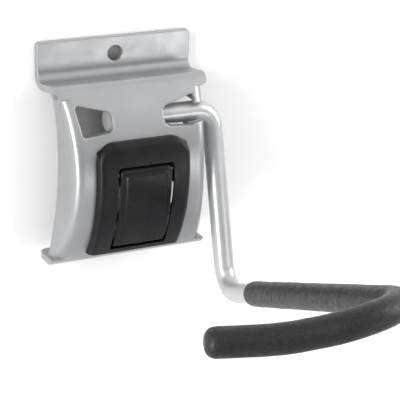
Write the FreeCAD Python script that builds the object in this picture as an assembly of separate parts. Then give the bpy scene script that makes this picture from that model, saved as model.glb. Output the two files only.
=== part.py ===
"""Slat-panel bicycle hook: pressed steel wall plate, bent rod hook, foam sleeve and lever lock.

Frame: +X right, +Y into the wall, +Z up, millimetres.
Origin: centre of the screw hole, on the back (wall) face of the top flange.
"""
import FreeCAD, Part
import math
import os

os.makedirs("parts", exist_ok=True)
V = FreeCAD.Vector

# ---------------------------------------------------------------- driving dimensions
SHEET = 3.2              # thickness of the pressed steel plate
ROD_R = 4.75             # radius of the hook rod
SLEEVE_R = 6.0           # outer radius of the foam sleeve

EDGE_R = 0.5             # rounding on the plate's visible cut edges

FLANGE_HALF = 38.5       # half width of the top flange and shoulder
FLANGE_TOP = 8.1         # flange top edge above the screw hole
FLANGE_CORNER = 1.7      # flange corner radius
SCREW_R = 3.6            # screw hole radius
LEDGE_LEVEL = -9.0       # rough height of the ledge
LEDGE_SLOPE = 8.0        # degrees the ledge rises towards its outer edge
GUTTER_R = 4.0           # inside bend radius between flange and ledge
SHOULDER_R = 5.0         # outside bend radius between ledge and face
SHOULDER_Z = -13.1       # centre of that bend

FACE_R = 67.0            # radius of the bowed front face, axis along X
FACE_Y = 31.5            # axis of the bowed face
FACE_Z = -51.0
SHOULDER_END_Z = -13.2   # where the full-width shoulder stops
BODY_TOP_Z = -12.0       # where the body starts
BODY_BOTTOM_Z = -89.9    # where the body stops, on the foot lip
HALF_TOP = 36.3          # half width of the body at its top
HALF_WAIST = 33.2        # half width at the waist
HALF_FOOT = 37.8         # half width at the foot
WAIST_Z = -50.0
WING_BACK_Y = -15.0      # back edge of the side wings, on the panel face
WING_BEND_R = 4.5        # outside bend radius between face and wing

FOOT_BOTTOM_Z = -93.1    # underside of the foot lip
FOOT_HALF = 39.4         # half width of the foot lip
RELIEF_X = 31.0          # the wings are cut free of the ledge beyond this
RELIEF_LOW_Z = -15.3     # wing top at the panel side of that relief
EAR_HOLLOW_R = 7.4       # concave corner under each end of the shoulder
EAR_HOLLOW = (42.4, -16.6)     # its centre (x, z)
SHOULDER_RELIEF_Y = -21.0
ANKLE_TOP_Z = -85.0      # the plain bend into the foot lip reaches up to here
FOOT_BEND_R = 3.8        # outside bend radius of the foot
FOOT_BACK_Y = -7.0       # tip of the foot lip, inside the panel's lower slot
FOOT_CORNER = 4.0

NOTCH_TIP_X = 16.8       # centre of the round inner end of each notch
NOTCH_TIP_Z = -24.4
NOTCH_TIP_R = 4.1
NOTCH_TOP = (30.2, -15.9)     # upper outer corner of a notch (x, z)
NOTCH_BOTTOM = (28.1, -29.5)  # lower outer corner
NOTCH_RADII = (3.4, 3.4, 1.4, 1.6)     # of its corners: inner low, inner top, outer top, outer low

ROD_Z = -25.7            # height of the rod where it lies behind the plate
ROD_START_X = -12.5
ELBOW_X = 41.2
FOOT_POINT = V(45.5, -37.0, -114.5)    # lower corner of the rod's route
TURN_POINT = V(18.0, -236.6, -33.4)    # corner of the turn at the far end
SET_POINT = V(-24.8, -213.0, -49.4)    # slight set in the return leg
TIP_POINT = V(-56.4, -201.3, -50.4)    # outer end of the sleeve
BEND_RADII = (9.0, 11.0, 23.5, 90.0)
SLEEVE_START = 23.5      # bare rod between the lower bend and the sleeve
SLEEVE_END = 3.0         # foam past the end cap
TIP_ROUND = 4.2          # rounding of the sleeve's closed end
MOUTH_ROUND = 1.0        # rounding of its open end
CAP_LENGTH = 2.6         # moulded cap on the cut end of the rod
CAP_ROUND = 1.0
ROD_GAP = 0.3            # clearance of the rod in the side slot
SLOT_DROP = 1.2          # extra room under the rod, where its elbow starts
SLOT_START_X = 26.0
SLOT_STEP_Y = -27.3      # behind this the slot clears the rod,
SLOT_FRONT_Y = -28.6     # and in front of this it is as high as the notch
SLOT_FRONT_LOW = -28.4
SLOT_FRONT_HIGH = -19.2
WELD_R = 1.9             # radius of a weld bead
WELD_HALF = 9.5          # half length of a weld bead
WELD_OUT = 2.9           # bead centre from the rod's axis, towards the plate
WELD_ALONG = 4.3         # and along the plate, up or down

BEZEL_HALF = 23.2        # half width of the latch bezel
BEZEL_TOP = -32.2
BEZEL_BOTTOM = -87.6
BEZEL_RISE = 4.2         # how far the bezel stands off the steel face
BEZEL_CORNER = 9.2
BEZEL_ROUND = 3.0        # rounding of its front rim
BEZEL_SKIN = 1.3         # wall thickness of the bezel round its opening
LEVER_HALF = 12.8
LEVER_TOP = -43.8
LEVER_BOTTOM = -83.4
LEVER_SKIN = 2.4
LEVER_GAP = 1.35         # side gap between lever and bezel
LEVER_TOP_GAP = 0.7      # gap above the hinge barrel
FINGER_GAP = 1.8         # gap under the lever's lower edge
POCKET_MARGIN = 3.0      # hollow behind the bezel, above the lever
PAD_HALF = 10.2          # raised finger pad on the lever
PAD_TOP = -46.9
PAD_RISE = 0.7
LEVER_CORNER = 1.8
RIB_THICK = 1.6          # stiffening rib along each side of the lever, on its back
RIB_DEPTH = 2.2
RIB_END = 4.0            # the ribs stop this far above the lever's lower edge
OPENING_RADII = (1.9, 0.6)             # corners of the bezel's opening, top and bottom
PAD_RADII = (1.6, 0.6)   # corners of the finger pad, top and bottom

PIN_R = 1.25
PIN_BORE_R = 1.30
BARREL_R = 3.3           # hinge barrel along the lever's top edge
LUG_THICK = 2.4          # hinge lugs behind the bezel, measured from the pin
LUG_FRONT = 2.5
LUG_BACK = 6.5
LUG_BELOW = 6.0
LUG_ABOVE = 5.0
WINDOW_HALF = 17.6       # latch window in the plate
WINDOW_TOP = -38.6
WINDOW_BOTTOM = -86.2
ARM_IN = 4.0             # inner face of a lever arm
ARM_OUT = 6.4
ARM_ROOT = 2.3           # half height of an arm at the hinge
ARM_HALF = 3.1           # half height along the fork
ARM_TAPER = 4.0          # length over which it widens
ARM_PAST_PIN = 2.2       # fork reaches this far past the cross pin
LEVER_TRAVEL = 55.0      # degrees from shut to open
CROSS_PIN_R = 1.2
CROSS_PIN_REACH = 8.4    # cross pin behind the hinge pin
FORK_HALF = 1.5          # half width of the fork slot
SLOT_ROOT = 0.5          # free slot on the hinge side of the cross pin
STRAP_HALF = 3.5
STRAP_THICK = 1.8
STRAP_LOW_Y = -18.2      # middle of the strap's lower run
STRAP_HOOK_Y = -8.0      # middle of the upturned nose
STRAP_FOOT_Z = -80.0     # lower edge of the strap when locked
NOSE_HEIGHT = 7.0
STRAP_GAP = 0.35         # clearance of the strap in its guide
GUIDE_TOP_Z = -71.0
GUIDE_LOW_Z = -77.2
GUIDE_THICK = 1.5
LOOP_BACK = 1.1          # thickness of the loop behind the strap
STOP_SEAT = 0.7          # bar across the bottom of the opening, behind the lever
STOP_BELOW = 3.0
STOP_ABOVE = 2.5
STOP_GAP = 0.4
PEG_R = 2.0
PEG_PROUD = 2.5          # how far a peg stands out behind the plate
PEG_X = 20.4
PEG_ZS = (-37.0, -82.0)
NUT_R = 4.0
NUT_THICK = 0.9

# ---------------------------------------------------------------- derived places
FACE_AXIS = (FACE_Y, FACE_Z)
BACK_R = FACE_R - SHEET
BEZEL_R = FACE_R + BEZEL_RISE
ROD_Y = FACE_Y - math.sqrt((BACK_R - ROD_R) ** 2 - (ROD_Z - FACE_Z) ** 2)
PIN_Z = LEVER_TOP - BARREL_R
PIN_Y = FACE_Y - math.sqrt((BEZEL_R - BARREL_R) ** 2 - (PIN_Z - FACE_Z) ** 2)
CROSS_Y = PIN_Y + CROSS_PIN_REACH
CROSS_Z = PIN_Z + CROSS_PIN_REACH * math.tan(math.radians(LEVER_TRAVEL / 2))
WIDE = 120.0             # longer than any piece, for cutting tools
DRUM_TURN = 180          # puts a drum's seam on the wall side


def face_y(z, radius):
    """Y of the bowed surface of the given radius at height z."""
    return FACE_Y - math.sqrt(radius ** 2 - (z - FACE_Z) ** 2)


def save(name, shape):
    """Write one node."""
    shape.exportStep("parts/" + name + ".step")


def prism_x(edges, half):
    """Closed outline in the YZ plane, extruded to both sides of the mid plane."""
    face = Part.Face(Part.Wire(edges))
    face.translate(V(-half, 0, 0))
    return face.extrude(V(2 * half, 0, 0))


def prism_y(edges):
    """Closed outline in the XZ plane, extruded right through the object along Y."""
    face = Part.Face(Part.Wire(edges))
    face.translate(V(0, -WIDE, 0))
    return face.extrude(V(0, 2 * WIDE, 0))


def lines(points):
    """Closed polygon through the points."""
    loop = list(points) + [points[0]]
    return [Part.LineSegment(a, b).toShape() for a, b in zip(loop[:-1], loop[1:])]


def rounded_loop(points, radii):
    """Closed polygon whose corners are rounded by the given radii (0 leaves a corner sharp)."""
    count = len(points)
    ends = []
    for i in range(count):
        before = (points[i - 1] - points[i]).normalize()
        after = (points[(i + 1) % count] - points[i]).normalize()
        half_angle = before.getAngle(after) / 2
        cut = radii[i] / math.tan(half_angle)
        middle = (before + after).normalize()
        depth = radii[i] / math.sin(half_angle) - radii[i]
        ends.append((points[i] + before * cut, points[i] + middle * depth, points[i] + after * cut))
    edges = []
    for i in range(count):
        start, crown, finish = ends[i]
        if radii[i] > 0:
            edges.append(Part.Arc(start, crown, finish).toShape())
        edges.append(Part.LineSegment(finish, ends[(i + 1) % count][0]).toShape())
    return edges


def cylinder_x(radius, x0, x1, y, z):
    """Cylinder along X."""
    return Part.makeCylinder(radius, x1 - x0, V(x0, y, z), V(1, 0, 0))


def block(x0, x1, y0, y1, z0, z1):
    """Box between two corners."""
    return Part.makeBox(x1 - x0, y1 - y0, z1 - z0, V(x0, y0, z0))


def bowed_drum(radius, half):
    """Solid drum of the bowed face, axis along X, with its seam on the wall side."""
    drum = cylinder_x(radius, -half, half, FACE_Y, FACE_Z)
    drum.rotate(V(0, FACE_Y, FACE_Z), V(1, 0, 0), DRUM_TURN)
    return drum


def arc_yz(centre, radius, start_deg, end_deg):
    """Arc in the YZ plane; 180 degrees points away from the wall, 90 degrees points up."""
    def point(angle):
        turn = math.radians(angle)
        return V(0, centre[0] + radius * math.cos(turn), centre[1] + radius * math.sin(turn))
    return Part.Arc(point(start_deg), point((start_deg + end_deg) / 2), point(end_deg)).toShape()


def round_edges(shape, radius, wanted):
    """Fillet the edges that the test picks."""
    return shape.makeFillet(radius, [edge for edge in shape.Edges if wanted(edge)])


# ---------------------------------------------------------------- wall plate
def hourglass(inset):
    """Front outline of the body, pulled in at the waist."""
    top = HALF_TOP - inset
    waist = HALF_WAIST - inset
    foot = HALF_FOOT - inset
    right = Part.Arc(V(foot, 0, BODY_BOTTOM_Z), V(waist, 0, WAIST_Z), V(top, 0, BODY_TOP_Z))
    left = Part.Arc(V(-top, 0, BODY_TOP_Z), V(-waist, 0, WAIST_Z), V(-foot, 0, BODY_BOTTOM_Z))
    roof = Part.LineSegment(V(top, 0, BODY_TOP_Z), V(-top, 0, BODY_TOP_Z))
    sill = Part.LineSegment(V(-foot, 0, BODY_BOTTOM_Z), V(foot, 0, BODY_BOTTOM_Z))
    return [edge.toShape() for edge in (right, roof, left, sill)]


def body_block(radius, inset, bend_radius):
    """Solid body whose front is the bowed face and whose sides are the hourglass."""
    solid = prism_y(hourglass(inset)).common(bowed_drum(radius, WIDE))
    solid = solid.cut(block(-WIDE, WIDE, WING_BACK_Y, WIDE, -WIDE, WIDE))

    def is_bend(edge):
        middle = edge.valueAt((edge.FirstParameter + edge.LastParameter) / 2)
        tall = edge.BoundBox.ZLength > 50
        return tall and middle.y < WING_BACK_Y - 5
    return round_edges(solid, bend_radius, is_bend)


def profile():
    """Section of flange, gutter, ledge, shoulder, face and foot: one sheet bent five times."""
    slope = math.radians(LEDGE_SLOPE)
    shoulder_reach = FACE_R - SHOULDER_R
    shoulder_y = FACE_Y - math.sqrt(shoulder_reach ** 2 - (SHOULDER_Z - FACE_Z) ** 2)
    shoulder = (shoulder_y, SHOULDER_Z)
    shoulder_deg = math.degrees(math.atan2(SHOULDER_Z - FACE_Z, shoulder_y - FACE_Y))
    crest_deg = 90 - LEDGE_SLOPE
    gutter_y = -SHEET - GUTTER_R
    ledge_level = shoulder_y * math.sin(slope) + SHOULDER_Z * math.cos(slope) + SHOULDER_R
    gutter = (gutter_y, (ledge_level + GUTTER_R - gutter_y * math.sin(slope)) / math.cos(slope))
    foot_z = FOOT_BOTTOM_Z + FOOT_BEND_R
    foot_reach = FACE_R - FOOT_BEND_R
    foot_y = FACE_Y - math.sqrt(foot_reach ** 2 - (foot_z - FACE_Z) ** 2)
    foot = (foot_y, foot_z)
    foot_deg = 360 + math.degrees(math.atan2(foot_z - FACE_Z, foot_y - FACE_Y))

    foot_top = FOOT_BOTTOM_Z + SHEET
    arcs = {
        "gutter_top": arc_yz(gutter, GUTTER_R, 0, -90 - LEDGE_SLOPE),
        "shoulder_top": arc_yz(shoulder, SHOULDER_R, crest_deg, shoulder_deg),
        "face_front": arc_yz(FACE_AXIS, FACE_R, shoulder_deg, foot_deg),
        "foot_front": arc_yz(foot, FOOT_BEND_R, foot_deg, 270),
        "foot_back": arc_yz(foot, FOOT_BEND_R - SHEET, 270, foot_deg),
        "face_back": arc_yz(FACE_AXIS, BACK_R, foot_deg, shoulder_deg),
        "shoulder_under": arc_yz(shoulder, SHOULDER_R - SHEET, shoulder_deg, crest_deg),
        "gutter_under": arc_yz(gutter, GUTTER_R + SHEET, -90 - LEDGE_SLOPE, 0),
    }

    def start(name):
        return arcs[name].valueAt(arcs[name].FirstParameter)

    def finish(name):
        return arcs[name].valueAt(arcs[name].LastParameter)

    def line(a, b):
        return Part.LineSegment(a, b).toShape()
    top_back = V(0, 0, FLANGE_TOP)
    top_front = V(0, -SHEET, FLANGE_TOP)
    lip_under = V(0, FOOT_BACK_Y, FOOT_BOTTOM_Z)
    lip_top = V(0, FOOT_BACK_Y, foot_top)
    return [
        line(top_back, top_front),
        line(top_front, start("gutter_top")),
        arcs["gutter_top"],
        line(finish("gutter_top"), start("shoulder_top")),
        arcs["shoulder_top"],
        arcs["face_front"],
        arcs["foot_front"],
        line(finish("foot_front"), lip_under),
        line(lip_under, lip_top),
        line(lip_top, start("foot_back")),
        arcs["foot_back"],
        arcs["face_back"],
        arcs["shoulder_under"],
        line(finish("shoulder_under"), start("gutter_under")),
        arcs["gutter_under"],
        line(finish("gutter_under"), top_back),
    ]


def notch(side):
    """Cutting tool for one tapered notch; side is -1 for left and 1 for right."""
    tip = V(side * NOTCH_TIP_X, 0, NOTCH_TIP_Z)
    top = V(side * NOTCH_TOP[0], 0, NOTCH_TOP[1])
    low = V(side * NOTCH_BOTTOM[0], 0, NOTCH_BOTTOM[1])
    inner_top = V(tip.x - side * NOTCH_TIP_R, 0, tip.z + NOTCH_TIP_R)
    inner_low = V(tip.x - side * NOTCH_TIP_R, 0, tip.z - NOTCH_TIP_R)
    corners = [inner_low, inner_top, top, low]
    tool = prism_y(rounded_loop(corners, NOTCH_RADII))
    return tool.common(block(-WIDE, WIDE, -WIDE, WING_BACK_Y - 3, -WIDE, WIDE))


def window():
    """Cutting tool for the latch window in the face."""
    corners = [V(-WINDOW_HALF, 0, WINDOW_BOTTOM), V(-WINDOW_HALF, 0, WINDOW_TOP),
               V(WINDOW_HALF, 0, WINDOW_TOP), V(WINDOW_HALF, 0, WINDOW_BOTTOM)]
    return prism_y(rounded_loop(corners, (2, 2, 2, 2)))


def rod_slot():
    """Slot through the right wing where the rod leaves the plate sideways; wider at the front bend."""
    half = ROD_R + ROD_GAP
    low = ROD_Z - half - SLOT_DROP
    high = ROD_Z + half
    outline = [(0, low), (SLOT_STEP_Y, low), (SLOT_FRONT_Y, SLOT_FRONT_LOW), (-WIDE, SLOT_FRONT_LOW),
               (-WIDE, SLOT_FRONT_HIGH), (SLOT_FRONT_Y, SLOT_FRONT_HIGH), (SLOT_STEP_Y, high), (0, high)]
    slot = prism_x(lines([V(0, y, z) for y, z in outline]), WIDE)
    return slot.common(block(SLOT_START_X, WIDE, -WIDE, WIDE, -WIDE, WIDE))


def wing_reliefs():
    """Cutting tools that free the top of each wing from the ledge above it."""
    outline = [(SHOULDER_RELIEF_Y, BODY_TOP_Z), (WING_BACK_Y + 1, RELIEF_LOW_Z), (WING_BACK_Y + 1, 0),
               (SHOULDER_RELIEF_Y, 0)]
    wedge = prism_x(lines([V(0, y, z) for y, z in outline]), WIDE)
    middle = block(-RELIEF_X, RELIEF_X, -WIDE, WIDE, -WIDE, WIDE)
    return wedge.cut(middle)


def ear_hollows():
    """Cutting tools for the concave corners under the two ends of the shoulder."""
    x, z = EAR_HOLLOW
    tools = []
    for side in (-1, 1):
        round_tool = Part.makeCylinder(EAR_HOLLOW_R, WIDE, V(side * x, -WIDE, z), V(0, 1, 0))
        tools.append(round_tool.cut(block(-WIDE, WIDE, SHOULDER_RELIEF_Y, WIDE, -WIDE, WIDE)))
    return tools


def wall_plate():
    """Pressed plate: profile for the middle, bent wings at the sides."""
    strip = prism_x(profile(), FLANGE_HALF)
    top_zone = block(-WIDE, WIDE, -WIDE, WIDE, SHOULDER_END_Z, WIDE)
    lip_zone = block(-WIDE, WIDE, -WIDE, WIDE, -WIDE, FOOT_BOTTOM_Z + SHEET)

    def is_flange_corner(edge):
        across = edge.BoundBox.YLength > SHEET - 0.2 and edge.BoundBox.XLength < 0.01
        return across and abs(edge.CenterOfMass.z - FLANGE_TOP) < 0.01

    def is_lip_corner(edge):
        upright = edge.BoundBox.ZLength > SHEET - 0.2 and edge.BoundBox.XLength < 0.01
        return upright and abs(edge.CenterOfMass.y - FOOT_BACK_Y) < 0.01
    upper = round_edges(strip.common(top_zone), FLANGE_CORNER, is_flange_corner)
    lip = round_edges(prism_x(profile(), FOOT_HALF).common(lip_zone), FOOT_CORNER, is_lip_corner)
    shell = body_block(FACE_R, 0, WING_BEND_R).cut(body_block(BACK_R, SHEET, WING_BEND_R - SHEET))
    shell = shell.cut(wing_reliefs())
    ankle_zone = block(-WIDE, WIDE, -WIDE, WIDE, FOOT_BOTTOM_Z, ANKLE_TOP_Z)
    ankle = prism_x(profile(), HALF_FOOT - WING_BEND_R - 1).common(ankle_zone)
    plate = upper.fuse([shell, ankle, lip])
    plate = plate.cut([notch(-1), notch(1), window(), rod_slot(), screw_hole()] + peg_holes())
    return softened(plate.removeSplitter()).cut(ear_hollows())


def softened(plate):
    """Round the cut edges that show: both notches, the screw hole and the flange rim, on the front."""
    def middle(edge):
        return edge.valueAt((edge.FirstParameter + edge.LastParameter) / 2)

    def on_face(edge):
        span = edge.LastParameter - edge.FirstParameter
        points = [edge.valueAt(edge.FirstParameter + span * share) for share in (0, 0.25, 0.5, 0.75, 1)]
        return all(abs(math.hypot(p.y - FACE_Y, p.z - FACE_Z) - FACE_R) < 0.02 for p in points)

    def on_notch(edge):
        place = middle(edge)
        beside = NOTCH_TIP_X - NOTCH_TIP_R - 1 < abs(place.x) < NOTCH_TOP[0] + 1
        return beside and NOTCH_BOTTOM[1] - 1 < place.z < NOTCH_TOP[1] + 1 and on_face(edge)

    def on_flange(edge):
        place = middle(edge)
        round_hole = edge.Curve.TypeId == "Part::GeomCircle" and abs(edge.Curve.Radius - SCREW_R) < 0.01
        outer_rim = abs(place.x) > FLANGE_HALF - 1 and place.z > LEDGE_LEVEL or place.z > FLANGE_TOP - 0.1
        return abs(place.y + SHEET) < 0.01 and (round_hole or outer_rim)
    plate = round_edges(plate, EDGE_R, on_notch)
    return round_edges(plate, EDGE_R, on_flange)


def screw_hole():
    """Cutting tool for the screw hole in the flange."""
    return Part.makeCylinder(SCREW_R, 20, V(0, -10, 0), V(0, 1, 0))


def peg_places():
    """Where the bezel's four pegs pass through the plate, with the outward direction there."""
    places = []
    for side in (-1, 1):
        for z in PEG_ZS:
            outward = V(0, face_y(z, FACE_R) - FACE_Y, z - FACE_Z).normalize()
            places.append((V(side * PEG_X, FACE_Y, FACE_Z), outward))
    return places


def peg_holes():
    """Cutting tools for the peg holes."""
    return [Part.makeCylinder(PEG_R + 0.1, 8, axis + out * (BACK_R - 2), out) for axis, out in peg_places()]


# ---------------------------------------------------------------- rod and sleeve
def rod_route():
    """Corner points of the rod's centre line, from the cut end behind the plate to the sleeve tip."""
    start = V(ROD_START_X, ROD_Y, ROD_Z)
    elbow = V(ELBOW_X, ROD_Y, ROD_Z)
    return [start, elbow, FOOT_POINT, TURN_POINT, SET_POINT, TIP_POINT]


def bent_edges(points, radii):
    """Straight runs joined by tangent arcs."""
    edges = []
    last = points[0]
    for i in range(1, len(points) - 1):
        back = (points[i - 1] - points[i]).normalize()
        ahead = (points[i + 1] - points[i]).normalize()
        half_angle = back.getAngle(ahead) / 2
        cut = radii[i - 1] / math.tan(half_angle)
        depth = radii[i - 1] / math.sin(half_angle) - radii[i - 1]
        first = points[i] + back * cut
        crown = points[i] + (back + ahead).normalize() * depth
        final = points[i] + ahead * cut
        edges.append(Part.LineSegment(last, first).toShape())
        edges.append(Part.Arc(first, crown, final).toShape())
        last = final
    edges.append(Part.LineSegment(last, points[-1]).toShape())
    return edges


def tube(edges, radius):
    """Round bar swept along the edges."""
    spine = Part.Wire(edges)
    start = edges[0].valueAt(edges[0].FirstParameter)
    heading = edges[0].tangentAt(edges[0].FirstParameter)
    section = Part.Wire([Part.Circle(start, heading, radius).toShape()])
    return spine.makePipeShell([section], True, False)


def shortened(points, amount):
    """Same route, ending earlier by the given length."""
    direction = (points[-1] - points[-2]).normalize()
    return points[:-1] + [points[-1] - direction * amount]


def hook_rod():
    """Bent steel rod, cut square at both ends."""
    route = shortened(rod_route(), SLEEVE_END + CAP_LENGTH)
    return tube(bent_edges(route, BEND_RADII), ROD_R)


def rod_end_cap():
    """Moulded cap on the end of the rod, under the foam."""
    route = rod_route()
    direction = (route[-1] - route[-2]).normalize()
    base = route[-1] - direction * (SLEEVE_END + CAP_LENGTH)
    cap = Part.makeCylinder(ROD_R, CAP_LENGTH, base, direction)
    return round_edges(cap, CAP_ROUND, lambda e: (e.CenterOfMass - base).Length > CAP_LENGTH / 2
                       and e.Curve.TypeId == "Part::GeomCircle")


def sleeve_edges():
    """Centre line of the sleeve: from just after the lower bend to the tip."""
    route = rod_route()
    leg = (route[3] - route[2]).normalize()
    inward = (route[1] - route[2]).normalize()
    bend_cut = BEND_RADII[1] / math.tan(inward.getAngle(leg) / 2)
    start = route[2] + leg * (bend_cut + SLEEVE_START)
    return bent_edges([start] + route[3:], BEND_RADII[2:])


def foam_sleeve():
    """Closed-end foam sleeve with rounded ends."""
    outer = tube(sleeve_edges(), SLEEVE_R)

    def is_rim(edge):
        return edge.Curve.TypeId == "Part::GeomCircle" and abs(edge.Curve.Radius - SLEEVE_R) < 0.01
    tip = rod_route()[-1]
    start = sleeve_edges()[0].valueAt(sleeve_edges()[0].FirstParameter)
    outer = round_edges(outer, TIP_ROUND, lambda e: is_rim(e) and (e.CenterOfMass - tip).Length < 0.5)
    outer = round_edges(outer, MOUTH_ROUND, lambda e: is_rim(e) and (e.CenterOfMass - start).Length < 0.5)
    return outer.cut([hook_rod(), rod_end_cap()])


def rod_weld(side):
    """Fillet weld between rod and plate; side is 1 above the rod and -1 below it."""
    outward = V(0, ROD_Y - FACE_Y, ROD_Z - FACE_Z).normalize()
    along = V(0, -outward.z, outward.y)
    centre = V(0, ROD_Y, ROD_Z) + outward * WELD_OUT - along * (side * WELD_ALONG)
    bead = cylinder_x(WELD_R, -WELD_HALF, WELD_HALF, centre.y, centre.z)
    ends = [V(x, centre.y, centre.z) for x in (-WELD_HALF, WELD_HALF)]
    bead = bead.fuse([Part.makeSphere(WELD_R, end) for end in ends])
    rod = cylinder_x(ROD_R, -WIDE, WIDE, ROD_Y, ROD_Z)
    plate = bowed_drum(FACE_R + SHEET, WIDE).cut(bowed_drum(BACK_R, WIDE))
    return bead.cut([rod, plate])


# ---------------------------------------------------------------- latch
def face_outline(half, top, bottom, top_radius, bottom_radius):
    """Upright outline with rounded corners, extruded along Y."""
    corners = [V(-half, 0, bottom), V(-half, 0, top), V(half, 0, top), V(half, 0, bottom)]
    return prism_y(rounded_loop(corners, (bottom_radius, top_radius, top_radius, bottom_radius)))


def bowed_layer(inner, outer, tool):
    """Part of the bowed shell between two radii that lies inside the tool, on the front side."""
    front = block(-WIDE, WIDE, -WIDE, WING_BACK_Y, -WIDE, WIDE)
    return bowed_drum(outer, WIDE).cut(bowed_drum(inner, WIDE + 1)).common(tool).common(front)


def latch_bezel():
    """Moulded frame round the lever, with hinge lugs and four pegs."""
    frame = bowed_layer(FACE_R, BEZEL_R, face_outline(BEZEL_HALF, BEZEL_TOP, BEZEL_BOTTOM, BEZEL_CORNER, 0))

    def is_front_rim(edge):
        middle = edge.valueAt((edge.FirstParameter + edge.LastParameter) / 2)
        reach = math.hypot(middle.y - FACE_Y, middle.z - FACE_Z)
        return abs(reach - BEZEL_R) < 0.05 and middle.z > BEZEL_BOTTOM + 0.5
    frame = round_edges(frame, BEZEL_ROUND, is_front_rim)
    top = LEVER_TOP + LEVER_TOP_GAP
    opening = face_outline(LEVER_HALF + LEVER_GAP, top, LEVER_BOTTOM - FINGER_GAP, *OPENING_RADII)
    pocket_tool = face_outline(WINDOW_HALF, LEVER_TOP + POCKET_MARGIN, LEVER_BOTTOM, 1.0, 1.0)
    pocket = bowed_layer(FACE_R - 1, BEZEL_R - BEZEL_SKIN, pocket_tool)
    frame = frame.cut([opening, pocket])
    stop_half = LEVER_HALF + LEVER_GAP + STOP_SEAT
    stop_tool = block(-stop_half, stop_half, -WIDE, 0, LEVER_BOTTOM - STOP_BELOW, LEVER_BOTTOM + STOP_ABOVE)
    stop = bowed_layer(FACE_R, BEZEL_R - LEVER_SKIN - STOP_GAP, stop_tool)
    lugs = []
    for side in (-1, 1):
        inner = side * (LEVER_HALF + LEVER_GAP)
        outer = side * (LEVER_HALF + LEVER_GAP + LUG_THICK)
        x0, x1 = sorted((inner, outer))
        lugs.append(block(x0, x1, PIN_Y - LUG_FRONT, PIN_Y + LUG_BACK, PIN_Z - LUG_BELOW, PIN_Z + LUG_ABOVE))
    pegs = [Part.makeCylinder(PEG_R, SHEET + PEG_PROUD + 1, axis + out * (BACK_R - PEG_PROUD), out)
            for axis, out in peg_places()]
    frame = frame.fuse([stop] + lugs + pegs)
    return frame.cut(lever_pin()).removeSplitter()


def bezel_push_nuts():
    """Four push-on nuts that hold the bezel's pegs behind the plate."""
    nuts = []
    for axis, out in peg_places():
        seat = axis + out * (BACK_R - NUT_THICK - 0.12)
        nut = Part.makeCylinder(NUT_R, NUT_THICK, seat, out)
        nuts.append(nut.cut(Part.makeCylinder(PEG_R, 10, seat - out * 3, out)))
    return Part.makeCompound(nuts)


def lever_arm(x0, x1):
    """Forked arm that reaches back from the hinge to the cross pin."""
    tilt = math.radians(LEVER_TRAVEL / 2)
    ahead = V(0, math.cos(tilt), math.sin(tilt))
    across = V(0, -math.sin(tilt), math.cos(tilt))
    hinge = V(0, PIN_Y, PIN_Z)
    reach = CROSS_PIN_REACH / math.cos(tilt) + ARM_PAST_PIN
    upper = [hinge + across * ARM_ROOT, hinge + ahead * ARM_TAPER + across * ARM_HALF,
             hinge + ahead * reach + across * ARM_HALF]
    lower = [hinge + ahead * reach - across * ARM_HALF, hinge + ahead * ARM_TAPER - across * ARM_HALF,
             hinge - across * ARM_ROOT]
    slot_start = CROSS_PIN_REACH - CROSS_PIN_R - SLOT_ROOT
    slot = [hinge + ahead * slot_start + across * FORK_HALF, hinge + ahead * WIDE + across * FORK_HALF,
            hinge + ahead * WIDE - across * FORK_HALF, hinge + ahead * slot_start - across * FORK_HALF]
    arm = Part.Face(Part.Wire(lines(upper + lower))).cut(Part.Face(Part.Wire(lines(slot))))
    arm.translate(V(x0, 0, 0))
    return arm.extrude(V(x1 - x0, 0, 0))


def latch_lever():
    """Flush lever: curved skin, hinge barrel on its top edge, forked arms and a raised finger pad."""
    outline = face_outline(LEVER_HALF, LEVER_TOP, LEVER_BOTTOM, LEVER_CORNER, 0.5)
    below_pin = block(-WIDE, WIDE, -WIDE, WIDE, -WIDE, PIN_Z)
    skin = bowed_layer(BEZEL_R - LEVER_SKIN, BEZEL_R, outline).common(below_pin)
    barrel = cylinder_x(BARREL_R, -LEVER_HALF, LEVER_HALF, PIN_Y, PIN_Z)
    barrel = round_edges(barrel, LEVER_CORNER, lambda e: e.BoundBox.XLength < 0.01)
    pad_tool = face_outline(PAD_HALF, PAD_TOP, LEVER_BOTTOM, *PAD_RADII)
    pad = bowed_layer(BEZEL_R - 1, BEZEL_R + PAD_RISE, pad_tool).common(below_pin)

    def is_pad_rim(edge):
        middle = edge.valueAt((edge.FirstParameter + edge.LastParameter) / 2)
        reach = math.hypot(middle.y - FACE_Y, middle.z - FACE_Z)
        return abs(reach - BEZEL_R - PAD_RISE) < 0.05
    pad = pad.makeChamfer(PAD_RISE * 0.9, [edge for edge in pad.Edges if is_pad_rim(edge)])
    ribs = []
    for side in (-1, 1):
        x0, x1 = sorted((side * (LEVER_HALF - RIB_THICK), side * LEVER_HALF))
        zone = block(x0, x1, -WIDE, 0, LEVER_BOTTOM + RIB_END, PIN_Z)
        ribs.append(bowed_layer(BEZEL_R - LEVER_SKIN - RIB_DEPTH, BEZEL_R - 1, zone))
    arms = [lever_arm(ARM_IN, ARM_OUT), lever_arm(-ARM_OUT, -ARM_IN)]
    lever = skin.fuse([barrel, pad] + ribs + arms)
    return lever.cut(cylinder_x(PIN_BORE_R, -WIDE, WIDE, PIN_Y, PIN_Z)).removeSplitter()


def lever_pin():
    """Steel hinge pin, pressed into the bezel's lugs."""
    half = LEVER_HALF + LEVER_GAP + LUG_THICK
    return cylinder_x(PIN_R, -half, half, PIN_Y, PIN_Z)


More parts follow.
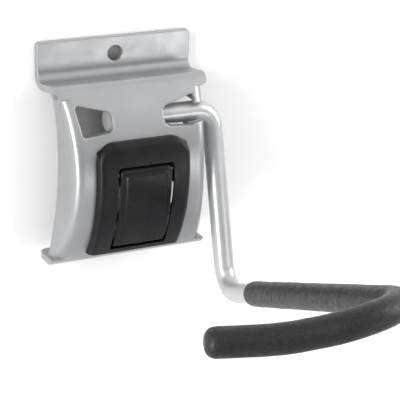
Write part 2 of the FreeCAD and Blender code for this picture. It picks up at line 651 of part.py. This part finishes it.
def lock_strap():
    """Sliding strap: boss at the top, jogged run, and a hooked nose that grips the slat's lower lip."""
    high_y = CROSS_Y + 0.9
    low_y = STRAP_LOW_Y
    half = STRAP_THICK / 2
    jog_top = CROSS_Z - 9
    jog_low = jog_top - 9
    foot = STRAP_FOOT_Z
    nose = STRAP_HOOK_Y
    front = [(high_y - half, CROSS_Z), (high_y - half, jog_top), (low_y - half, jog_low),
             (low_y - half, foot)]
    hooked = [(nose + half, foot), (nose + half, foot + NOSE_HEIGHT), (nose - half, foot + NOSE_HEIGHT),
              (nose - half, foot + STRAP_THICK)]
    back = [(low_y + half, foot + STRAP_THICK), (low_y + half, jog_low), (high_y + half, jog_top),
            (high_y + half, CROSS_Z)]
    strap = prism_x(lines([V(0, y, z) for y, z in front + hooked + back]), STRAP_HALF)
    boss = cylinder_x(2.5, -STRAP_HALF, STRAP_HALF, CROSS_Y, CROSS_Z)
    strap = strap.fuse(boss).cut(cylinder_x(CROSS_PIN_R, -WIDE, WIDE, CROSS_Y, CROSS_Z))
    return strap.removeSplitter()


def strap_cross_pin():
    """Pin through the strap's boss, running in the lever's two forks."""
    return cylinder_x(CROSS_PIN_R, -ARM_OUT - 0.4, ARM_OUT + 0.4, CROSS_Y, CROSS_Z)


def strap_guide():
    """Cross bar between the wings, with a loop that the strap slides through."""
    x_in = STRAP_HALF + STRAP_GAP
    front = STRAP_LOW_Y - STRAP_THICK / 2 - STRAP_GAP
    back = STRAP_LOW_Y + STRAP_THICK / 2 + STRAP_GAP
    bar = block(-HALF_FOOT, HALF_FOOT, front - GUIDE_THICK, front, GUIDE_LOW_Z, GUIDE_TOP_Z)
    x_out = x_in + GUIDE_THICK
    outer = block(-x_out, x_out, front - GUIDE_THICK, back + LOOP_BACK, GUIDE_LOW_Z, GUIDE_TOP_Z)
    inner = block(-x_in, x_in, front, back, -WIDE, WIDE)
    room = body_block(BACK_R, SHEET, WING_BEND_R - SHEET)
    return bar.common(room).fuse(outer).cut(inner).removeSplitter()


def main():
    """Build every node and write it."""
    save("wall_plate", wall_plate())
    save("hook_rod", hook_rod())
    save("rod_end_cap", rod_end_cap())
    save("foam_sleeve", foam_sleeve())
    save("rod_weld_upper", rod_weld(1))
    save("rod_weld_lower", rod_weld(-1))
    save("latch_bezel", latch_bezel())
    save("bezel_push_nuts", bezel_push_nuts())
    save("latch_lever", latch_lever())
    save("lever_pin", lever_pin())
    save("lock_strap", lock_strap())
    save("strap_cross_pin", strap_cross_pin())
    save("strap_guide", strap_guide())


main()
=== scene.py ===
"""Slat-panel bicycle hook: surfaces, foam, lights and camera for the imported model.

Metres, in the part's own frame: +X right, +Y into the wall, +Z up.
"""
import math

import bmesh
import bpy
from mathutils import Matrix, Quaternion, Vector


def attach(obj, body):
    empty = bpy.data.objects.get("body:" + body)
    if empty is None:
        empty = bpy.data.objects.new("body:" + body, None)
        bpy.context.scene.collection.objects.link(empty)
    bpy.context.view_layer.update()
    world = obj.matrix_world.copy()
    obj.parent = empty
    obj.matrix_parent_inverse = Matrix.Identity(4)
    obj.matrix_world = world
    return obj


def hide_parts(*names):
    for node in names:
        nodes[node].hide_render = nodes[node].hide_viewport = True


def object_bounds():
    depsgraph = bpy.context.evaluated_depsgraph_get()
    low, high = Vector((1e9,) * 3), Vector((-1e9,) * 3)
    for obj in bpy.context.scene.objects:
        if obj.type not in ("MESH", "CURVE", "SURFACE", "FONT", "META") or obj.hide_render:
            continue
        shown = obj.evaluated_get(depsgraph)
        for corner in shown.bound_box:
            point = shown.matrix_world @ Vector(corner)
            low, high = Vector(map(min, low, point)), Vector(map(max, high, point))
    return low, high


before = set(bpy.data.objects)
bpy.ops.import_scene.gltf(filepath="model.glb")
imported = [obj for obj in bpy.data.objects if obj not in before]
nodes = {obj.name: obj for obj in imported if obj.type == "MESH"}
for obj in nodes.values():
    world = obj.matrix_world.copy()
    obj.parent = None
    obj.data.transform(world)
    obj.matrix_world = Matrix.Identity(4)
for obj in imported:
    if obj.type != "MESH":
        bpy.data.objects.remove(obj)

# ---------------------------------------------------------------- camera and studio
CAMERA_YAW = math.radians(28.5)      # camera stands to the left of the wall's normal
CAMERA_PITCH = math.radians(20.26)   # and looks down
CAMERA_ROLL = math.radians(2.19)
CAMERA_AIM = Vector((0.0257, -0.0434, -0.0620))
CAMERA_DISTANCE = 0.738
CAMERA_LENS = 144.0
SENSOR = 36.0
WALL_Y = 0.0006                      # board just behind the flange
FLOOR_DROP = 0.45                    # floor below the lowest point of the hook
SWEEP_RADIUS = 0.12
STAGE_HALF = 3.0
STAGE_TOP = 2.5
STAGE_FRONT = 3.0
SWEEP_STEPS = 12
WALL_TONES = ((0.90, 0.90, 0.90), (0.93, 0.93, 0.93))
BOARD_ROUGHNESS = 0.9
FLOOR_TONE = (0.55, 0.55, 0.56)
FLOOR_FADE = (-0.45, -0.25)          # heights between which the wall turns into the floor's tone
PAINTED_SHADE_TONE = (0.27, 0.27, 0.27)     # painted shade: a dark patch on the board where the plate's shadow falls
PAINTED_SHADE_CENTRE = (0.0, -0.042)        # x and z
PAINTED_SHADE_HALF = (0.024, 0.050)
PAINTED_SHADE_EDGE = 0.8                    # share of its half size that is fully dark

LIGHT_AIM = Vector((0.0, -0.02, -0.05))
SOFTBOXES = (                        # name, place, width, height, watts
    ("key", (1.25, -0.60, 0.50), 0.7, 1.1, 12.5),
    ("strip", (-1.25, -0.70, 0.05), 0.32, 1.5, 20.0),
    ("fill", (0.78, -1.35, -0.50), 0.7, 0.5, 4.6),
)
SURROUND_LOW = 0.26
SURROUND_HIGH = 0.96
SURROUND_TOP = 0.45                  # sine of the height angle where the surround reaches full white

# ---------------------------------------------------------------- foam
FOAM_VOXEL = 0.0007
FOAM_SMOOTH_STEPS = 20
FOAM_WAVES = ((0.014, 0.00035), (0.0045, 0.00018))   # size and height of the unevenness
FOAM_WAVE_MIDDLE = 0.55              # above a half the waves pull the skin in, so it stays in its box
MERGE_DISTANCE = 1e-6                # vertices closer than this are one

# ---------------------------------------------------------------- surfaces
SILVER_COATS = (                     # node, material, metallic share, dark and light tone, roughness limits
    ("wall_plate", "plate_coat", 0.62, ((0.33, 0.335, 0.342), (0.37, 0.375, 0.382)), (0.30, 0.38)),
    ("hook_rod", "rod_coat", 0.58, ((0.46, 0.465, 0.47), (0.51, 0.515, 0.52)), (0.30, 0.37)),
)
PLASTICS = (                         # node, material, dark and light tone, roughness limits, grain
    ("latch_bezel", "bezel_plastic", ((0.004, 0.004, 0.005), (0.008, 0.008, 0.009)), (0.30, 0.42), 0.0005),
    ("latch_lever", "lever_plastic", ((0.003, 0.003, 0.004), (0.007, 0.007, 0.008)), (0.26, 0.36), 0.0007),
    ("rod_end_cap", "cap_plastic", ((0.012, 0.012, 0.012), (0.02, 0.02, 0.02)), (0.5, 0.62), 0.0006),
)
ZINC_TONES = ((0.42, 0.42, 0.43), (0.58, 0.58, 0.57))
ZINC_NODES = ("bezel_push_nuts", "lever_pin", "lock_strap", "strap_cross_pin", "strap_guide")
WELD_TONES = ((0.32, 0.325, 0.33), (0.38, 0.385, 0.39))
WELD_METALLIC = 0.62
WELD_RIPPLE_SCALE = 280.0            # ripples along a bead
FOAM_TONES = ((0.005, 0.005, 0.006), (0.016, 0.016, 0.017))
FOAM_SPECULAR = 0.34
PLASTIC_SPECULAR = 0.24

cad_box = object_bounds()


# ---------------------------------------------------------------- material building blocks
class Finish:
    """A Principled material with helpers that add procedural layers to it."""

    def __init__(self, name, metallic, specular=0.5):
        self.material = bpy.data.materials.new(name)
        self.material.use_nodes = True
        self.tree = self.material.node_tree
        self.shader = self.tree.nodes["Principled BSDF"]
        self.shader.inputs["Metallic"].default_value = metallic
        self.shader.inputs["Specular IOR Level"].default_value = specular
        self.place = self.tree.nodes.new("ShaderNodeTexCoord").outputs["Object"]
        self.normal = None

    def link(self, source, target):
        """Join an output socket to an input socket."""
        self.tree.links.new(source, target)

    def stretched(self, scale):
        """Object coordinates scaled by a vector."""
        mapping = self.tree.nodes.new("ShaderNodeMapping")
        mapping.inputs["Scale"].default_value = scale
        self.link(self.place, mapping.inputs["Vector"])
        return mapping.outputs["Vector"]

    def noise(self, grain, detail=2.0, scale=(1.0, 1.0, 1.0)):
        """Noise whose features are about grain metres across."""
        node = self.tree.nodes.new("ShaderNodeTexNoise")
        node.inputs["Scale"].default_value = 1.0 / grain
        node.inputs["Detail"].default_value = detail
        self.link(self.stretched(scale), node.inputs["Vector"])
        return node.outputs["Fac"]

    def cells(self, grain):
        """Rounded cells about grain metres across."""
        node = self.tree.nodes.new("ShaderNodeTexVoronoi")
        node.inputs["Scale"].default_value = 1.0 / grain
        self.link(self.place, node.inputs["Vector"])
        return node.outputs["Distance"]

    def spread(self, value, low, high, start=0.3, end=0.7):
        """The range from start to end, mapped onto low to high."""
        node = self.tree.nodes.new("ShaderNodeMapRange")
        node.inputs["From Min"].default_value = start
        node.inputs["From Max"].default_value = end
        node.inputs["To Min"].default_value = low
        node.inputs["To Max"].default_value = high
        self.link(value, node.inputs["Value"])
        return node.outputs["Result"]

    def colour(self, dark, light, value):
        """Base colour between two tones."""
        ramp = self.tree.nodes.new("ShaderNodeValToRGB")
        ramp.color_ramp.elements[0].position = 0.3
        ramp.color_ramp.elements[1].position = 0.7
        ramp.color_ramp.elements[0].color = (*dark, 1.0)
        ramp.color_ramp.elements[1].color = (*light, 1.0)
        self.link(value, ramp.inputs["Fac"])
        self.link(ramp.outputs["Color"], self.shader.inputs["Base Color"])

    def overlay(self, tone, share):
        """Another tone over the base colour, by the given share."""
        node = self.tree.nodes.new("ShaderNodeMix")
        node.data_type = "RGBA"
        colour_in = [socket for socket in node.inputs if socket.type == "RGBA"]
        colour_in[1].default_value = (*tone, 1.0)
        base = self.shader.inputs["Base Color"]
        self.link(base.links[0].from_socket, colour_in[0])
        self.link(share, node.inputs["Factor"])
        result = [socket for socket in node.outputs if socket.type == "RGBA"][0]
        self.link(result, base)

    def maths(self, operation, first, second=None):
        """Result of a Math node; the second operand may be a number or a socket."""
        node = self.tree.nodes.new("ShaderNodeMath")
        node.operation = operation
        self.link(first, node.inputs[0])
        if isinstance(second, (int, float)):
            node.inputs[1].default_value = second
        elif second is not None:
            self.link(second, node.inputs[1])
        return node.outputs["Value"]

    def roughness(self, low, high, value):
        """Roughness between two limits."""
        self.link(self.spread(value, low, high), self.shader.inputs["Roughness"])

    def rounded_edges(self, radius):
        """Edges that catch the light as if rounded by this radius."""
        node = self.tree.nodes.new("ShaderNodeBevel")
        node.inputs["Radius"].default_value = radius
        self.normal = node.outputs["Normal"]
        self.link(self.normal, self.shader.inputs["Normal"])

    def bump(self, value, height):
        """Relief of the given height in metres."""
        node = self.tree.nodes.new("ShaderNodeBump")
        node.inputs["Distance"].default_value = height
        node.inputs["Strength"].default_value = 1.0
        self.link(value, node.inputs["Height"])
        if self.normal is not None:
            self.link(self.normal, node.inputs["Normal"])
        self.normal = node.outputs["Normal"]
        self.link(self.normal, self.shader.inputs["Normal"])


def silver_paint(name, metallic, dark, light, rough_low, rough_high):
    """Satin silver powder coat over steel: fine grain, faint orange peel and uneven gloss from handling."""
    finish = Finish(name, metallic)
    finish.colour(dark, light, finish.noise(0.022, 4.0))
    finish.roughness(rough_low, rough_high, finish.noise(0.006, 3.0))
    finish.rounded_edges(0.0005)
    finish.bump(finish.noise(0.0016), 0.00001)
    finish.bump(finish.noise(0.00035), 0.000006)
    return finish.material


def weld_paint():
    """The same coat over a weld bead, with ripples across the bead."""
    finish = Finish("weld_coat", WELD_METALLIC)
    finish.colour(*WELD_TONES, finish.noise(0.003, 3.0))
    finish.roughness(0.34, 0.46, finish.noise(0.002, 3.0))
    wave = finish.tree.nodes.new("ShaderNodeTexWave")
    wave.wave_profile = "SAW"
    wave.inputs["Scale"].default_value = WELD_RIPPLE_SCALE
    wave.inputs["Distortion"].default_value = 1.5
    finish.link(finish.place, wave.inputs["Vector"])
    finish.bump(wave.outputs["Fac"], 0.00012)
    return finish.material


def moulded_plastic(name, dark, light, rough_low, rough_high, grain):
    """Black moulded plastic with a fine spark-eroded grain."""
    finish = Finish(name, 0.0, PLASTIC_SPECULAR)
    finish.colour(dark, light, finish.noise(0.012, 3.0))
    finish.roughness(rough_low, rough_high, finish.noise(0.004, 3.0))
    finish.rounded_edges(0.0004)
    finish.bump(finish.noise(grain), 0.00002)
    return finish.material


def foam_skin():
    """Closed-cell foam: charcoal, mottled and granular."""
    finish = Finish("foam_skin", 0.0, FOAM_SPECULAR)
    finish.shader.inputs["Sheen Weight"].default_value = 0.03
    finish.shader.inputs["Sheen Roughness"].default_value = 0.5
    finish.colour(*FOAM_TONES, finish.noise(0.0010, 4.0))
    finish.roughness(0.36, 0.56, finish.noise(0.0022, 3.0))
    finish.bump(finish.noise(0.0042, 3.0), 0.00010)
    finish.bump(finish.noise(0.0010, 3.0), 0.00010)
    finish.bump(finish.cells(0.0007), 0.00006)
    return finish.material


def zinc_plate(name, dark, light):
    """Zinc-plated steel with fine rolling lines along its length."""
    finish = Finish(name, 1.0)
    finish.colour(dark, light, finish.noise(0.005, 4.0))
    finish.roughness(0.26, 0.42, finish.noise(0.0025, 4.0))
    finish.rounded_edges(0.0002)
    finish.bump(finish.noise(0.0006, 2.0, (6.0, 1.0, 0.2)), 0.000008)
    return finish.material


def paint_node(name, material):
    """Give a CAD node its material in every slot."""
    node = nodes[name]
    if not node.material_slots:
        node.data.materials.append(material)
    for slot in node.material_slots:
        slot.material = material


# ---------------------------------------------------------------- foam sleeve
def displaced(piece, number, size, height):
    """Uneven surface from a cloud texture."""
    texture = bpy.data.textures.new(f"foam_wave_{number}", "CLOUDS")
    texture.noise_scale = size
    modifier = piece.modifiers.new(f"wave_{number}", "DISPLACE")
    modifier.texture = texture
    modifier.texture_coords = "LOCAL"
    modifier.strength = height
    modifier.mid_level = FOAM_WAVE_MIDDLE


def foam_grip():
    """The sleeve as soft foam: an evenly meshed skin with a slightly uneven surface."""
    mesh = nodes["foam_sleeve"].data.copy()
    soup = bmesh.new()
    soup.from_mesh(mesh)
    bmesh.ops.remove_doubles(soup, verts=soup.verts, dist=MERGE_DISTANCE)
    soup.to_mesh(mesh)
    soup.free()
    piece = bpy.data.objects.new("foam_grip", mesh)
    bpy.context.scene.collection.objects.link(piece)
    remesh = piece.modifiers.new("remesh", "REMESH")
    remesh.mode = "VOXEL"
    remesh.voxel_size = FOAM_VOXEL
    remesh.use_smooth_shade = True
    smooth = piece.modifiers.new("smooth", "SMOOTH")
    smooth.iterations = FOAM_SMOOTH_STEPS
    for number, (size, height) in enumerate(FOAM_WAVES):
        displaced(piece, number, size, height)
    graph = bpy.context.evaluated_depsgraph_get()
    finished = bpy.data.meshes.new_from_object(piece.evaluated_get(graph))
    piece.modifiers.clear()
    piece.data = finished
    piece.data.materials.clear()
    piece.data.materials.append(foam_skin())
    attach(piece, "bracket")
    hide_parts("foam_sleeve")


# ---------------------------------------------------------------- studio
def backdrop():
    """White board behind the bracket, sweeping into a grey floor, seen from its front only."""
    floor_z = cad_box[0].z - FLOOR_DROP
    section = [(WALL_Y, STAGE_TOP), (WALL_Y, floor_z + SWEEP_RADIUS)]
    for step in range(1, SWEEP_STEPS + 1):
        turn = math.radians(90) * step / SWEEP_STEPS
        out = SWEEP_RADIUS * (1 - math.cos(turn))
        up = SWEEP_RADIUS * (1 - math.sin(turn))
        section.append((WALL_Y - out, floor_z + up))
    section.append((-STAGE_FRONT, floor_z))
    verts = [(x, y, z) for x in (-STAGE_HALF, STAGE_HALF) for y, z in section]
    count = len(section)
    faces = [(i, i + count, i + count + 1, i + 1) for i in range(count - 1)]
    mesh = bpy.data.meshes.new("backdrop")
    mesh.from_pydata(verts, [], faces)
    mesh.update()
    board = bpy.data.objects.new("backdrop", mesh)
    bpy.context.scene.collection.objects.link(board)
    for polygon in mesh.polygons:
        polygon.use_smooth = True
    if mesh.polygons[0].normal.y > 0:
        mesh.flip_normals()
    mesh.materials.append(board_paint())


def board_paint():
    """Matt white paint, grey on the floor, with painted shade in a patch behind the plate; clear when seen
    from behind.
    """
    finish = Finish("board_paint", 0.0, 0.2)
    finish.colour(*WALL_TONES, finish.noise(0.05))
    axes = finish.tree.nodes.new("ShaderNodeSeparateXYZ")
    finish.link(finish.place, axes.inputs["Vector"])
    finish.overlay(FLOOR_TONE, finish.spread(axes.outputs["Z"], 1.0, 0.0, *FLOOR_FADE))
    # painted shade: the board is darkened in a patch behind the plate
    shares = []
    for axis, centre, half in zip("XZ", PAINTED_SHADE_CENTRE, PAINTED_SHADE_HALF):
        offset = finish.maths("ABSOLUTE", finish.maths("SUBTRACT", axes.outputs[axis], centre))
        shares.append(finish.maths("DIVIDE", offset, half))
    reach = finish.maths("MAXIMUM", *shares)
    finish.overlay(PAINTED_SHADE_TONE, finish.spread(reach, 1.0, 0.0, PAINTED_SHADE_EDGE, 1.0))
    finish.shader.inputs["Roughness"].default_value = BOARD_ROUGHNESS
    tree = finish.tree
    side = tree.nodes.new("ShaderNodeNewGeometry").outputs["Backfacing"]
    clear = tree.nodes.new("ShaderNodeBsdfTransparent").outputs["BSDF"]
    mix = tree.nodes.new("ShaderNodeMixShader")
    tree.links.new(side, mix.inputs["Fac"])
    tree.links.new(finish.shader.outputs["BSDF"], mix.inputs[1])
    tree.links.new(clear, mix.inputs[2])
    tree.links.new(mix.outputs["Shader"], tree.nodes["Material Output"].inputs["Surface"])
    return finish.material


def softbox(name, place, width, height, watts):
    """Rectangular area light pointed at the bracket."""
    lamp = bpy.data.lights.new(name, "AREA")
    lamp.shape = "RECTANGLE"
    lamp.size = width
    lamp.size_y = height
    lamp.energy = watts
    obj = bpy.data.objects.new(name, lamp)
    obj.location = place
    obj.rotation_mode = "QUATERNION"
    obj.rotation_quaternion = (LIGHT_AIM - place).to_track_quat("-Z", "Y")
    bpy.context.scene.collection.objects.link(obj)


def studio():
    """Soft key from the right, a tall strip on the left, a low fill in front, and a graded surround."""
    for name, place, width, height, watts in SOFTBOXES:
        softbox(name, Vector(place), width, height, watts)
    bpy.context.scene.world = surround()


def surround():
    """Studio white above, darker towards the ground."""
    world = bpy.data.worlds.new("surround")
    world.use_nodes = True
    tree = world.node_tree
    ray = tree.nodes.new("ShaderNodeTexCoord").outputs["Generated"]
    split = tree.nodes.new("ShaderNodeSeparateXYZ")
    tree.links.new(ray, split.inputs["Vector"])
    ramp = tree.nodes.new("ShaderNodeValToRGB")
    tree.links.new(split.outputs["Z"], ramp.inputs["Fac"])
    stops = ramp.color_ramp.elements
    stops[0].position = 0.0
    stops[1].position = SURROUND_TOP
    stops[0].color = (SURROUND_LOW, SURROUND_LOW, SURROUND_LOW, 1.0)
    stops[1].color = (SURROUND_HIGH, SURROUND_HIGH, SURROUND_HIGH, 1.0)
    background = tree.nodes["Background"]
    tree.links.new(ramp.outputs["Color"], background.inputs["Color"])
    background.inputs["Strength"].default_value = 1.0
    return world


def camera():
    """Long lens, to the left of the bracket and a little above it."""
    forward = Vector((math.sin(CAMERA_YAW) * math.cos(CAMERA_PITCH),
                      math.cos(CAMERA_YAW) * math.cos(CAMERA_PITCH),
                      -math.sin(CAMERA_PITCH)))
    data = bpy.data.cameras.new("camera")
    data.lens = CAMERA_LENS
    data.sensor_width = SENSOR
    data.clip_start = 0.01
    data.clip_end = 50.0
    obj = bpy.data.objects.new("camera", data)
    obj.location = CAMERA_AIM - forward * CAMERA_DISTANCE
    obj.rotation_mode = "QUATERNION"
    obj.rotation_quaternion = forward.to_track_quat("-Z", "Y") @ Quaternion((0, 0, 1), CAMERA_ROLL)
    bpy.context.scene.collection.objects.link(obj)
    bpy.context.scene.camera = obj


def main():
    """Dress every node, add the foam and set the studio."""
    bpy.context.scene.view_settings.view_transform = "Standard"
    plain_steel = zinc_plate("zinc_plate", *ZINC_TONES)
    weld = weld_paint()
    for node, name, metallic, tones, gloss in SILVER_COATS:
        paint_node(node, silver_paint(name, metallic, *tones, *gloss))
    paint_node("rod_weld_upper", weld)
    paint_node("rod_weld_lower", weld)
    for node, name, tones, gloss, grain in PLASTICS:
        paint_node(node, moulded_plastic(name, *tones, *gloss, grain))
    for name in ZINC_NODES:
        paint_node(name, plain_steel)
    foam_grip()
    backdrop()
    studio()
    camera()


main()
